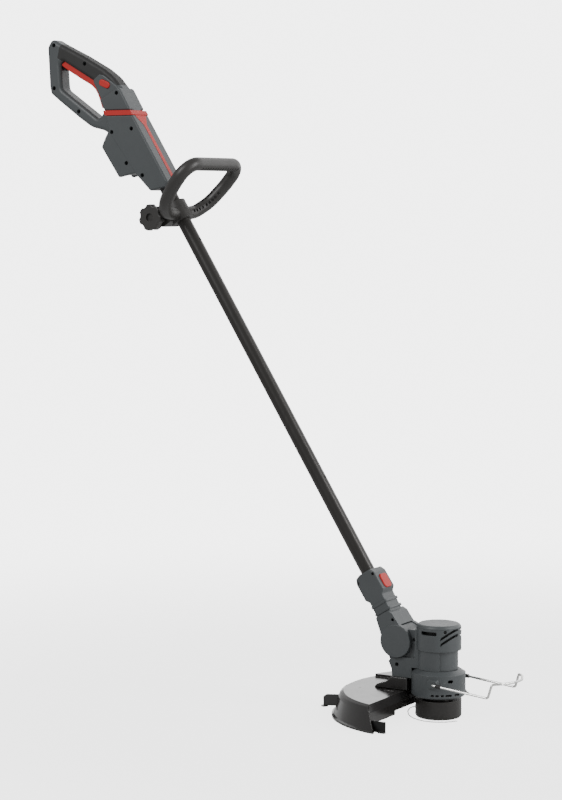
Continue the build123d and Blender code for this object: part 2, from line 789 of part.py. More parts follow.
with BuildPart() as head_drills:
    with BuildSketch(cap_screw_plane(cap_screw_floor)):
        Circle(cap_screw_head + 0.4)
    extrude(amount=8)
    with BuildSketch(cap_screw_plane(cap_screw_floor - 6)):
        Circle(screw_shank)
    extrude(amount=6)
    for x, z in head_screw_places:
        with BuildSketch(Plane(origin=(x, -40, z), x_dir=(1, 0, 0), z_dir=(0, 1, 0))):
            Circle(screw_head - 0.4)
        extrude(amount=40 - head_depth_y)
        with BuildSketch(Plane(origin=(x, -head_depth_y, z), x_dir=(1, 0, 0), z_dir=(0, 1, 0))):
            Circle(screw_shank)
        extrude(amount=head_depth_y + 10)
for name, kept in (("head_shell_right", Keep.TOP), ("head_shell_left", Keep.BOTTOM)):
    with BuildPart() as head_shell:
        add(head_body.part)
        add(vents.part, mode=Mode.SUBTRACT)
        add(head_drills.part, mode=Mode.SUBTRACT)
        split(bisect_by=middle, keep=kept)
    save(head_shell, name)

with BuildPart() as head_screws:
    with BuildSketch(cap_screw_plane(cap_screw_floor)):
        Circle(cap_screw_head)
    extrude(amount=1.4)
    with BuildSketch(cap_screw_plane(cap_screw_floor - 3)):
        Circle(screw_shank - fit)
    extrude(amount=3.5)
    for x, z in head_screw_places:
        with BuildSketch(Plane(origin=(x, -head_depth_y, z), x_dir=(1, 0, 0), z_dir=(0, 1, 0))):
            Circle(screw_head - 0.8)
        extrude(amount=-2.4)
        with BuildSketch(Plane(origin=(x, -head_depth_y - 0.5, z), x_dir=(1, 0, 0), z_dir=(0, 1, 0))):
            Circle(screw_shank - fit)
        extrude(amount=head_depth_y + 10)
save(head_screws, "head_screws")

cap_edge, cap_flat = 38.4, 34.0
motor_cap = turned(
    [
        (0, cap_bottom + 3.5), (33.5, cap_bottom + 3.5), (33.5, cap_bottom), (cap_edge, cap_bottom),
        (cap_edge, cap_bottom + 2), (cap_edge - 2, cap_bottom + 5), (cap_flat, cap_top),
        (0, cap_top),
    ]
)
save(motor_cap, "motor_cap")

# Deck ring under the motor, with side pads that carry the plant guard.
pad_half, pad_reach = 10.0, 50.0
ring_inner = ring_radius - wall
ring_stock = turned(
    [
        (42, ring_low), (ring_radius, ring_low + 4.5), (ring_radius, ring_high),
        (body_radius + 1, body_low), (waist_radius - wall, body_low),
        (waist_radius - wall, body_low - 2), (ring_inner - 2, ring_high - 4),
        (ring_inner, ring_high - 8), (ring_inner, ring_low + 5), (ring_inner - 3, ring_low),
    ]
)
with BuildPart() as deck_ring:
    add(ring_stock.part)
    for side in (-1, 1):
        pad = Plane(
            origin=(wire_pivot_x - 2, side * 38, wire_pivot_z), x_dir=(1, 0, 0), z_dir=(0, side, 0)
        )
        with BuildSketch(pad):
            RectangleRounded(2 * pad_half, 16, 5)
        extrude(amount=pad_reach - 38, taper=6)
    with BuildSketch(Plane.XY.offset(ring_low)):
        Circle(ring_inner)
    extrude(amount=ring_high - ring_low - 8, mode=Mode.SUBTRACT)
    with BuildSketch(
        Plane(origin=(wire_pivot_x, -60, wire_pivot_z), x_dir=(1, 0, 0), z_dir=(0, 1, 0))
    ):
        Circle(wire_radius + 2 * fit)
    extrude(amount=120, mode=Mode.SUBTRACT)
    for side in (-1, 1):
        for angle, length in ((76, 6), (66, 6), (55, 6), (41, 12), (20, 12)):
            slot_plane = Plane(origin=(0, 0, 44.5), x_dir=(1, 0, 0), z_dir=(0, 0, 1))
            slot_plane = slot_plane.rotated((0, 0, side * angle))
            face = Plane(
                origin=slot_plane.from_local_coords((30, 0, 0)), x_dir=slot_plane.y_dir,
                z_dir=slot_plane.x_dir,
            )
            with BuildSketch(face):
                SlotOverall(length, 3.6)
            extrude(amount=30, mode=Mode.SUBTRACT)
        eye = Plane(
            origin=(30.4, side * 22.8, 68.5), x_dir=(-side * 0.6, 0.8, 0), z_dir=(0.8, side * 0.6, 0)
        )
        with BuildSketch(eye):
            SlotOverall(10, 5.5)
        extrude(amount=16, mode=Mode.SUBTRACT)
save(deck_ring, "deck_ring")

with BuildPart() as bottom_plate:
    with BuildSketch(Plane.XY.offset(41.5)):
        Circle(ring_inner)
        Circle(9, mode=Mode.SUBTRACT)
    extrude(amount=2)
save(bottom_plate, "bottom_plate")

# ---- Motor ---------------------------------------------------------------------------------
can_radius, can_low, can_high = 27.0, 92.0, 148.0
bearing_radius, bearing_high = 9.0, 7.0
with BuildPart() as motor_can:
    with BuildSketch(Plane.XY.offset(can_low)):
        Circle(can_radius)
        Circle(bearing_radius, mode=Mode.SUBTRACT)
    extrude(amount=can_high - can_low)
    with BuildSketch(Plane.XY.offset(can_low + bearing_high)):
        Circle(can_radius - 1.8)
    extrude(amount=can_high - can_low - 2 * bearing_high, mode=Mode.SUBTRACT)
save(motor_can, "motor_can")

with BuildPart() as motor_magnets:
    with BuildSketch(Plane.XY.offset(can_low + 12)):
        Circle(can_radius - 1.8)
        Circle(can_radius - 4, mode=Mode.SUBTRACT)
        Rectangle(12, 80, mode=Mode.SUBTRACT)
    extrude(amount=32)
save(motor_magnets, "motor_magnets")

with BuildPart() as motor_bearings:
    for low in (can_low, can_high - bearing_high):
        with BuildSketch(Plane.XY.offset(low)):
            Circle(bearing_radius)
            Circle(spindle_radius + fit, mode=Mode.SUBTRACT)
        extrude(amount=bearing_high)
save(motor_bearings, "motor_bearings")

with BuildPart() as motor_mount:
    with BuildSketch(Plane.XY.offset(104)):
        Circle(waist_radius - wall)
        Circle(can_radius, mode=Mode.SUBTRACT)
        Rectangle(12, 80, mode=Mode.SUBTRACT)
    extrude(amount=4)
save(motor_mount, "motor_mount")

with BuildPart() as spindle:
    with BuildSketch(Plane.XY.offset(9)):
        Circle(spindle_radius)
    extrude(amount=can_high + 2 - 9)
save(spindle, "spindle")

with BuildPart() as motor_rotor:
    with BuildSketch(Plane.XY.offset(can_low + 12)):
        Circle(can_radius - 4.8)
        Circle(spindle_radius, mode=Mode.SUBTRACT)
        with PolarLocations(can_radius - 7, 8):
            Rectangle(7, 2.4, mode=Mode.SUBTRACT)
    extrude(amount=32)
save(motor_rotor, "motor_rotor")

with BuildPart() as cooling_fan:
    with BuildSketch(Plane.XY.offset(80)):
        Circle(28)
        Circle(spindle_radius, mode=Mode.SUBTRACT)
    extrude(amount=1.6)
    with BuildSketch(Plane.XY.offset(81.6)):
        Circle(8)
        Circle(spindle_radius, mode=Mode.SUBTRACT)
        with PolarLocations(17.5, 10):
            Rectangle(20, 1.6)
    extrude(amount=6)
save(cooling_fan, "cooling_fan")

# ---- Line spool ------------------------------------------------------------------------------
spool_wall, spool_floor = 2.4, 2.6
hub_radius = 8.0
eyelet_angle = -149.0
eyelet_z, eyelet_radius = 17.0, 3.0
turn = math.radians(eyelet_angle)
outwards = Vector(math.cos(turn), math.sin(turn), 0)
EYELET = Plane(origin=Vector(0, 0, eyelet_z), x_dir=(0, 0, 1), z_dir=outwards)
with BuildPart() as spool_cap:
    with BuildSketch():
        Circle(spool_radius)
    extrude(amount=spool_height)
    fillet(spool_cap.faces().sort_by(Axis.Z)[0].edges(), 5)
    with BuildSketch(Plane.XY.offset(spool_floor)):
        Circle(spool_radius - spool_wall)
    extrude(amount=spool_height, mode=Mode.SUBTRACT)
    with BuildSketch(EYELET):
        Circle(eyelet_radius)
    extrude(amount=spool_radius + 5, mode=Mode.SUBTRACT)
save(spool_cap, "spool_cap")

with BuildPart() as spool_base:
    with BuildSketch(Plane.XY.offset(28)):
        Circle(spool_radius - spool_wall)
        Circle(spindle_radius, mode=Mode.SUBTRACT)
    extrude(amount=4)
    with BuildSketch(Plane.XY.offset(32)):
        Circle(27)
        Circle(spindle_radius, mode=Mode.SUBTRACT)
    extrude(amount=3.2)
    with BuildSketch(Plane.XY.offset(7)):
        Circle(hub_radius)
        Circle(spindle_radius, mode=Mode.SUBTRACT)
    extrude(amount=21)
save(spool_base, "spool_base")

with BuildPart() as spool_nut:
    with BuildSketch(Plane.XY.offset(3.2)):
        RegularPolygon(7.5, 6)
    extrude(amount=3.8)
save(spool_nut, "spool_nut")

reel_low, reel_high, flange, reel_core, flange_radius = 7.6, 26.0, 1.6, 14.0, 33.0
line_reel = turned(
    [
        (hub_radius + 0.1, reel_low), (flange_radius, reel_low), (flange_radius, reel_low + flange),
        (reel_core, reel_low + flange), (reel_core, reel_high - flange),
        (flange_radius, reel_high - flange), (flange_radius, reel_high),
        (hub_radius + 0.1, reel_high),
    ]
)
save(line_reel, "line_reel")

with BuildPart() as wound_line:
    with BuildSketch(Plane.XY.offset(reel_low + flange)):
        Circle(28)
        Circle(reel_core, mode=Mode.SUBTRACT)
    extrude(amount=reel_high - reel_low - 2 * flange)
save(wound_line, "wound_line")

with BuildPart() as line_eyelet:
    with BuildSketch(EYELET.offset(spool_radius - spool_wall - 0.6)):
        Circle(eyelet_radius)
        Circle(line_diameter / 2 + 0.1, mode=Mode.SUBTRACT)
    extrude(amount=spool_wall + 1.0)
save(line_eyelet, "line_eyelet")

# ---- Guard -------------------------------------------------------------------------------------
flange_x = -43.5
bracket_half, bracket_front = 28.0, -47.0
panel_high = 4.5
tab_angle = -158.0
guard_shell = turned(
    [
        (0, guard_top), (guard_radius - 9, guard_top), (guard_radius - 3, guard_top - 3),
        (guard_radius, guard_top - 9), (guard_flare - 2, guard_low + 5),
        (guard_flare + 2, guard_low + 3.5), (guard_flare + 2, guard_low), (guard_flare - 4, guard_low),
        (guard_radius - guard_wall, guard_top - 9), (guard_radius - 5, guard_top - guard_wall - 2),
        (guard_radius - 10, guard_top - guard_wall), (0, guard_top - guard_wall),
    ]
)
with BuildPart() as guard_inside:
    add(
        turned(
            [
                (0, guard_top), (guard_radius - 9, guard_top), (guard_radius - 1, guard_top - 9),
                (guard_flare - 2, guard_low), (0, guard_low),
            ]
        ).part
    )
with BuildPart() as guard_lip:
    add(
        head_slab(
            [
                (guard_front - 1.6, guard_top), (guard_front + 1.5, guard_top), (flange_x, 31.5),
                (flange_x, 12), (flange_x - guard_wall, 12), (flange_x - guard_wall, 30.8),
            ],
            200,
        ).part
    )
    add(guard_inside.part, mode=Mode.INTERSECT)
    with BuildSketch(Plane.XY):
        with Locations((flange_x, 0)):
            Rectangle(20, 154)
    extrude(amount=19, mode=Mode.SUBTRACT)
cutter_y = -168.0
with BuildPart() as guard:
    add(guard_shell.part)
    with BuildSketch(Plane.XZ):
        with BuildLine():
            Polyline((guard_front, 60), (guard_front, guard_top), (-27, -4), (220, -4), (220, 60), close=True)
        make_face()
    extrude(amount=250, both=True, mode=Mode.SUBTRACT)
    add(guard_lip.part)
    with BuildSketch(Plane.XY.offset(guard_top)):
        Circle(guard_radius - 11)
        with Locations((guard_front - 5, 52)):
            Rectangle(200, 200, align=(Align.MAX, Align.MIN), mode=Mode.INTERSECT)
    extrude(amount=panel_high)
    with BuildSketch(Plane.XY.offset(guard_top - 1)):
        with Locations((-76, -44)):
            RectangleRounded(22, 9, 2)
    extrude(amount=3, mode=Mode.SUBTRACT)
    with BuildSketch(Plane.XY.offset(guard_top - 5)):
        with Locations((-130, -44)):
            Circle(1.5)
        with Locations((-68, -18), (-68, 18), (-90, 0)):
            Circle(2.2)
    extrude(amount=10, mode=Mode.SUBTRACT)
save(guard, "guard")

with BuildPart() as guard_bracket:
    with BuildSketch(Plane.XZ):
        with BuildLine():
            FilletPolyline(
                (bracket_front, 66), (bracket_front, guard_top), (-112, guard_top), (-106, 50),
                (-88, 56), (-78, 66), radius=[0.5, 0.5, 1, 5, 2, 2], close=True,
            )
        make_face()
    extrude(amount=bracket_half, both=True)
    fillet(guard_bracket.faces().filter_by(Axis.Y).edges().filter_by(Axis.Z, reverse=True)
           .sort_by(Axis.Z)[-4:], 2)
    with BuildSketch(Plane.XY.offset(guard_top)):
        with Locations((-68, -18), (-68, 18), (-90, 0)):
            Circle(1.6)
    extrude(amount=8, mode=Mode.SUBTRACT)
save(guard_bracket, "guard_bracket")

with BuildPart() as guard_screws:
    with BuildSketch(Plane.XY.offset(guard_top - guard_wall - 2.4)):
        with Locations((-68, -18), (-68, 18), (-90, 0)):
            Circle(3.8)
    extrude(amount=2.4)
    with BuildSketch(Plane.XY.offset(guard_top - guard_wall)):
        with Locations((-68, -18), (-68, 18), (-90, 0)):
            Circle(1.55)
    extrude(amount=guard_wall + 7.5)
save(guard_screws, "guard_screws")

blade_thick = 1.5
with BuildPart() as line_cutter:
    with BuildSketch(Plane(origin=(-30, cutter_y, 11), x_dir=(1, 0, 0), z_dir=(0, 1, 0))):
        Rectangle(34, 19)
    extrude(amount=blade_thick)
    with BuildSketch(Plane.XY.offset(1.5)):
        with Locations((-19, cutter_y - 2.5)):
            Rectangle(12, 5)
    extrude(amount=1.5)
    add(guard.part, mode=Mode.SUBTRACT)
save(line_cutter, "line_cutter")

turn = math.radians(tab_angle)
tab_out = Vector(math.cos(turn), math.sin(turn), 0)
TAB = Plane(origin=tab_out * 170, x_dir=tab_out, z_dir=tab_out.cross(Vector(0, 0, 1)))
with BuildPart() as guard_tab:
    with BuildSketch(TAB):
        with BuildLine():
            FilletPolyline((0, 12), (30, 12), (30, 28), (24, 32), (0, 32), radius=[1, 1, 3, 3, 1],
                           close=True)
        make_face()
    extrude(amount=1.4, both=True)
    with BuildSketch(Plane.XY.offset(10.5)):
        with Locations(tab_out * 198):
            Circle(6)
    extrude(amount=2)
    add(guard_inside.part, mode=Mode.SUBTRACT)
    add(guard.part, mode=Mode.SUBTRACT)
save(guard_tab, "guard_tab")

# ---- Plant guard: one bent steel wire with two rubber sleeves ------------------------------------
wire_half = [
    (wire_pivot_x, -46, wire_pivot_z), (wire_pivot_x, -wire_side, wire_pivot_z),
    (120, -wire_side, 54), (127, -wire_side + 1, 78), (139, -40, 78), (152, -13, 78),
]
wire_turns = [4, 5, 5, 24, 24]
wire_points = wire_half + [(x, -y, z) for x, y, z in reversed(wire_half)]
with BuildPart() as plant_guard_wire:
    with BuildLine() as bend:
        FilletPolyline(*wire_points, radius=wire_turns + wire_turns[::-1])
    with BuildSketch(Plane(origin=bend.line @ 0, z_dir=bend.line % 0)):
        Circle(wire_radius)
    sweep()
save(plant_guard_wire, "plant_guard_wire")

sleeve_wall, sleeve_start, sleeve_long = 1.4, 8.0, 9.0
arm = (Vector(120, 0, 54) - Vector(wire_pivot_x, 0, wire_pivot_z)).normalized()
with BuildPart() as wire_sleeves:
    for side in (-1, 1):
        start = Vector(wire_pivot_x, side * wire_side, wire_pivot_z) + arm * sleeve_start
        with BuildSketch(Plane(origin=start, z_dir=arm)):
            Circle(wire_radius + sleeve_wall)
            Circle(wire_radius, mode=Mode.SUBTRACT)
        extrude(amount=sleeve_long)
save(wire_sleeves, "wire_sleeves")

# ---- Cutting line, one free end ------------------------------------------------------------------
line_start = spool_radius + 0.4
line_route = [
    (line_start * outwards.X, line_start * outwards.Y, eyelet_z),
    (-41, -25, 15.5), (-42.5, -32.5, 11), (-37, -41, 6.5), (-26, -47.5, 3.5), (-12, -52, 2),
    (3, -53.5, 1.5), (17, -51.5, 1.5), (30, -45.5, 1.5), (40.5, -36, 1.5), (47.5, -23.5, 1.5),
]
line_radii = []
for before, corner, after in zip(line_route, line_route[1:], line_route[2:]):
    run_in = Vector(*corner) - Vector(*before)
    run_out = Vector(*after) - Vector(*corner)
    bend_angle = math.radians(run_in.get_angle(run_out))
    shorter = min(run_in.length, run_out.length)
    line_radii.append(0.45 * shorter / math.tan(bend_angle / 2))
print("line radii", [round(r, 1) for r in line_radii])
with BuildPart() as cutting_line:
    with BuildLine() as route:
        FilletPolyline(*line_route, radius=line_radii)
    with BuildSketch(Plane(origin=route.line @ 0, z_dir=route.line % 0)):
        Circle(line_diameter / 2)
    sweep()
line_section = math.pi * (line_diameter / 2) ** 2
line_length = route.wire().length
print("line length", round(line_length, 1), "volume ratio",
      round(cutting_line.part.volume / (line_section * line_length), 4))
save(cutting_line, "cutting_line")
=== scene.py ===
"""A cordless string trimmer, leaning with its line spool on the floor. Lengths are metres."""
import json
import math

import bmesh
import bpy
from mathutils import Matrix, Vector


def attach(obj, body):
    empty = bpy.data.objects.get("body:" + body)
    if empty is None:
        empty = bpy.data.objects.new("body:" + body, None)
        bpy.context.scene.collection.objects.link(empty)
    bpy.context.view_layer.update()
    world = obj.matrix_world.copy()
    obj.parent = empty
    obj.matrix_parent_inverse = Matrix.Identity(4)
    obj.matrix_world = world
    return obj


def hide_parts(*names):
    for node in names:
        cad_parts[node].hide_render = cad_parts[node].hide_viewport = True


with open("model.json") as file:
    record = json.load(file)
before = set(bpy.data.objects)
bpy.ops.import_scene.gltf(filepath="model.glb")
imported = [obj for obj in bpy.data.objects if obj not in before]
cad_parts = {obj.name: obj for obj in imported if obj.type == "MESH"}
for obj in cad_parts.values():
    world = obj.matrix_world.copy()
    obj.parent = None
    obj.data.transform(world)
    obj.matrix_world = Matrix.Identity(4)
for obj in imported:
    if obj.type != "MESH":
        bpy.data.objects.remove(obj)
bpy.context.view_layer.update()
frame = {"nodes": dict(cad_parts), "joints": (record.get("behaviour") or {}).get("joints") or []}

# ---- Camera -------------------------------------------------------------------------------------
# A long lens stands low, forward and to the right of the trimmer, and sees all of it from the
# spool to the rear handle. The shaft leans away to the left.
camera_place = Vector((1.778, -3.4857, 0.8885))
camera_aim = Vector((-0.257, -0.099, 0.5428))
lens_length, film_width = 103.5, 36.0

camera_lens = bpy.data.cameras.new("camera")
camera_lens.lens = lens_length
camera_lens.sensor_width = film_width
camera = bpy.data.objects.new("camera", camera_lens)
camera.location = camera_place
camera.rotation_mode = "QUATERNION"
camera.rotation_quaternion = (camera_aim - camera_place).to_track_quat("-Z", "Y")
bpy.context.scene.collection.objects.link(camera)
bpy.context.scene.camera = camera

# ---- Cutting line -------------------------------------------------------------------------------
# One free end of clear nylon line, 1.6 mm thick. It leaves the eyelet in the spool's wall, drops
# and curls round the spool's foot, because it keeps the bend of the reel it was wound on.
MM = 0.001
line_thick = 1.6 * MM
line_route = [
    (-34.46, -20.70, 17.0), (-41.0, -25.0, 15.5), (-42.5, -32.5, 11.0), (-37.0, -41.0, 6.5),
    (-26.0, -47.5, 3.5), (-12.0, -52.0, 2.0), (3.0, -53.5, 1.5), (17.0, -51.5, 1.5),
    (30.0, -45.5, 1.5), (40.5, -36.0, 1.5), (47.5, -23.5, 1.5),
]
line_points = [Vector(point) * MM for point in line_route]

line_curve = bpy.data.curves.new("trimmer_line", "CURVE")
line_curve.dimensions = "3D"
line_curve.bevel_depth = 1.0
line_curve.bevel_resolution = 3
line_curve.resolution_u = 10
line_curve.use_fill_caps = True
line_spline = line_curve.splines.new("NURBS")
line_spline.points.add(len(line_points) - 1)
for knot, point in zip(line_spline.points, line_points):
    knot.co = (*point, 1.0)
    knot.radius = line_thick / 2
line_spline.order_u = 3
line_spline.use_endpoint_u = True
trimmer_line = bpy.data.objects.new("trimmer_line", line_curve)
bpy.context.scene.collection.objects.link(trimmer_line)
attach(trimmer_line, "spool")
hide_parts("cutting_line")

# ---- Floor and light ----------------------------------------------------------------------------
# A pale sheet that fades into a white surround, lit by three soft boxes. The one behind and above
# lights the guard's top, the tube and the housing's front edges. The lamps aren't seen themselves.
floor_reach, fade_start, fade_end = 4.0, 0.5, 2.2
floor_cover = 0.4
room_light, seen_white = 0.5, 6.0


def wire_up(tree, output, target):
    """Joins one node's output to another's input."""
    tree.links.new(output, target)


def new_node(tree, kind, **settings):
    """A node with its properties set."""
    node = tree.nodes.new(kind)
    for key, value in settings.items():
        setattr(node, key, value)
    return node


def plain_material(name):
    """A material with node links, and its Principled shader."""
    material = bpy.data.materials.new(name)
    material.use_nodes = True
    return material, material.node_tree, material.node_tree.nodes["Principled BSDF"]


floor_paper, tree, shader = plain_material("floor_paper")
shader.inputs["Base Color"].default_value = (0.9, 0.9, 0.9, 1)
shader.inputs["Roughness"].default_value = 0.9
shader.inputs["Specular IOR Level"].default_value = 0.1
place = new_node(tree, "ShaderNodeTexCoord")
distance = new_node(tree, "ShaderNodeVectorMath", operation="LENGTH")
fade = new_node(tree, "ShaderNodeMapRange", interpolation_type="SMOOTHSTEP")
fade.inputs["From Min"].default_value = fade_start
fade.inputs["From Max"].default_value = fade_end
fade.inputs["To Min"].default_value = floor_cover
fade.inputs["To Max"].default_value = 0.0
wire_up(tree, place.outputs["Object"], distance.inputs[0])
wire_up(tree, distance.outputs["Value"], fade.inputs["Value"])
wire_up(tree, fade.outputs["Result"], shader.inputs["Alpha"])
floor_mesh = bpy.data.meshes.new("floor")
corners = [(-1, -1), (1, -1), (1, 1), (-1, 1)]
floor_points = [(x * floor_reach, y * floor_reach, 0) for x, y in corners]
floor_mesh.from_pydata(floor_points, [], [(0, 1, 2, 3)])
floor_mesh.materials.append(floor_paper)
floor = bpy.data.objects.new("floor", floor_mesh)
bpy.context.scene.collection.objects.link(floor)

surround = bpy.data.worlds.new("white_surround")
bpy.context.scene.world = surround
surround.use_nodes = True
sky = surround.node_tree
surround_light = sky.nodes["Background"]
surround_light.inputs["Color"].default_value = (1.0, 1.0, 1.0, 1)
surround_light.inputs["Strength"].default_value = room_light
seen = new_node(sky, "ShaderNodeBackground")
seen.inputs["Strength"].default_value = seen_white
rays = new_node(sky, "ShaderNodeLightPath")
choose = new_node(sky, "ShaderNodeMixShader")
wire_up(sky, rays.outputs["Is Camera Ray"], choose.inputs["Fac"])
wire_up(sky, surround_light.outputs["Background"], choose.inputs[1])
wire_up(sky, seen.outputs["Background"], choose.inputs[2])
wire_up(sky, choose.outputs["Shader"], sky.nodes["World Output"].inputs["Surface"])


def soft_box(name, place, aim, width, height, power):
    """A rectangular lamp that the camera itself doesn't see."""
    lamp = bpy.data.lights.new(name, "AREA")
    lamp.shape = "RECTANGLE"
    lamp.size, lamp.size_y = width, height
    lamp.energy = power
    box = bpy.data.objects.new(name, lamp)
    box.location = place
    box.rotation_mode = "QUATERNION"
    box.rotation_quaternion = (Vector(aim) - Vector(place)).to_track_quat("-Z", "Y")
    box.visible_camera = False
    bpy.context.scene.collection.objects.link(box)


soft_box("key_light", (-1.4, -3.2, 3.0), (-0.25, 0, 0.5), 1.4, 2.0, 85)
soft_box("side_light", (3.0, 0.4, 1.7), (-0.1, 0, 0.4), 1.0, 2.6, 95)
soft_box("back_light", (0.4, 4.2, 2.0), (0.2, 0, 0.3), 9.0, 5.0, 210)

# ---- Shaft tube ---------------------------------------------------------------------------------
# A straight aluminium tube of 25 mm, coated satin black, with faint lines along it from drawing.
# It is glued into the rear housing and turns in the neck below.
joints = {joint["name"]: joint for joint in frame["joints"]}
up_shaft = Vector(joints["handle_slide"]["axis"])


def effect(name, inputs, outputs):
    """An empty shader group with named inputs and outputs."""
    group = bpy.data.node_groups.new(name, "ShaderNodeTree")
    for socket, kind, value in inputs:
        made = group.interface.new_socket(socket, in_out="INPUT", socket_type="NodeSocket" + kind)
        if value is not None:
            made.default_value = value
    for socket, kind in outputs:
        group.interface.new_socket(socket, in_out="OUTPUT", socket_type="NodeSocket" + kind)
    return group, new_node(group, "NodeGroupInput"), new_node(group, "NodeGroupOutput")


# Fine grain of a surface: two clouds vary its colour and gloss, and a small noise its height.
skin_grain, given, result = effect(
    "skin_grain",
    [
        ("Vector", "Vector", None), ("Colour", "Color", (0.1, 0.1, 0.1, 1)),
        ("Second colour", "Color", (0.15, 0.15, 0.15, 1)), ("Cloud scale", "Float", 30.0),
        ("Grain scale", "Float", 1500.0), ("Gloss", "Float", 0.5), ("Gloss spread", "Float", 0.1),
    ],
    [("Colour", "Color"), ("Roughness", "Float"), ("Height", "Float")],
)
cloud = new_node(skin_grain, "ShaderNodeTexNoise")
cloud.inputs["Detail"].default_value = 4.0
cloud.inputs["Roughness"].default_value = 0.6
smears = new_node(skin_grain, "ShaderNodeTexNoise")
smears.inputs["Detail"].default_value = 5.0
smears.inputs["Distortion"].default_value = 0.6
grain = new_node(skin_grain, "ShaderNodeTexNoise")
grain.inputs["Detail"].default_value = 2.0
wider = new_node(skin_grain, "ShaderNodeMath", operation="MULTIPLY")
wider.inputs[1].default_value = 2.7
blend_colours = new_node(skin_grain, "ShaderNodeMix", data_type="RGBA")
centred = new_node(skin_grain, "ShaderNodeMath", operation="SUBTRACT")
centred.inputs[1].default_value = 0.5
gloss = new_node(skin_grain, "ShaderNodeMath", operation="MULTIPLY_ADD")
for noise in (cloud, smears, grain):
    wire_up(skin_grain, given.outputs["Vector"], noise.inputs["Vector"])
wire_up(skin_grain, given.outputs["Cloud scale"], cloud.inputs["Scale"])
wire_up(skin_grain, given.outputs["Cloud scale"], wider.inputs[0])
wire_up(skin_grain, wider.outputs["Value"], smears.inputs["Scale"])
wire_up(skin_grain, given.outputs["Grain scale"], grain.inputs["Scale"])
wire_up(skin_grain, cloud.outputs["Fac"], blend_colours.inputs["Factor"])
wire_up(skin_grain, given.outputs["Colour"], blend_colours.inputs["A"])
wire_up(skin_grain, given.outputs["Second colour"], blend_colours.inputs["B"])
wire_up(skin_grain, smears.outputs["Fac"], centred.inputs[0])
wire_up(skin_grain, centred.outputs["Value"], gloss.inputs[0])
wire_up(skin_grain, given.outputs["Gloss spread"], gloss.inputs[1])
wire_up(skin_grain, given.outputs["Gloss"], gloss.inputs[2])
wire_up(skin_grain, blend_colours.outputs["Result"], result.inputs["Colour"])
wire_up(skin_grain, gloss.outputs["Value"], result.inputs["Roughness"])
wire_up(skin_grain, grain.outputs["Fac"], result.inputs["Height"])

# Worn edges: where a rounded copy of the surface turns away from the sharp one, broken up by noise.
edge_wear, given, result = effect(
    "edge_wear",
    [
        ("Vector", "Vector", None), ("Colour", "Color", None), ("Worn colour", "Color", None),
        ("Radius", "Float", 0.0006), ("Amount", "Float", 0.5),
    ],
    [("Colour", "Color"), ("Mask", "Float"), ("Normal", "Vector")],
)
rounded = new_node(edge_wear, "ShaderNodeBevel", samples=6)
surface = new_node(edge_wear, "ShaderNodeNewGeometry")
turn = new_node(edge_wear, "ShaderNodeVectorMath", operation="DOT_PRODUCT")
sharpness = new_node(edge_wear, "ShaderNodeMapRange")
sharpness.inputs["From Min"].default_value = 0.975
sharpness.inputs["From Max"].default_value = 0.86
scuffs = new_node(edge_wear, "ShaderNodeTexNoise")
scuffs.inputs["Scale"].default_value = 220.0
scuffs.inputs["Detail"].default_value = 4.0
patches = new_node(edge_wear, "ShaderNodeMapRange")
patches.inputs["From Min"].default_value = 0.42
patches.inputs["From Max"].default_value = 0.66
broken = new_node(edge_wear, "ShaderNodeMath", operation="MULTIPLY")
mask = new_node(edge_wear, "ShaderNodeMath", operation="MULTIPLY", use_clamp=True)
worn = new_node(edge_wear, "ShaderNodeMix", data_type="RGBA")
wire_up(edge_wear, given.outputs["Radius"], rounded.inputs["Radius"])
wire_up(edge_wear, given.outputs["Vector"], scuffs.inputs["Vector"])
wire_up(edge_wear, rounded.outputs["Normal"], turn.inputs[0])
wire_up(edge_wear, surface.outputs["True Normal"], turn.inputs[1])
wire_up(edge_wear, turn.outputs["Value"], sharpness.inputs["Value"])
wire_up(edge_wear, scuffs.outputs["Fac"], patches.inputs["Value"])
wire_up(edge_wear, sharpness.outputs["Result"], broken.inputs[0])
wire_up(edge_wear, patches.outputs["Result"], broken.inputs[1])
wire_up(edge_wear, broken.outputs["Value"], mask.inputs[0])
wire_up(edge_wear, given.outputs["Amount"], mask.inputs[1])
wire_up(edge_wear, mask.outputs["Value"], worn.inputs["Factor"])
wire_up(edge_wear, given.outputs["Colour"], worn.inputs["A"])
wire_up(edge_wear, given.outputs["Worn colour"], worn.inputs["B"])
wire_up(edge_wear, worn.outputs["Result"], result.inputs["Colour"])
wire_up(edge_wear, mask.outputs["Value"], result.inputs["Mask"])
wire_up(edge_wear, rounded.outputs["Normal"], result.inputs["Normal"])


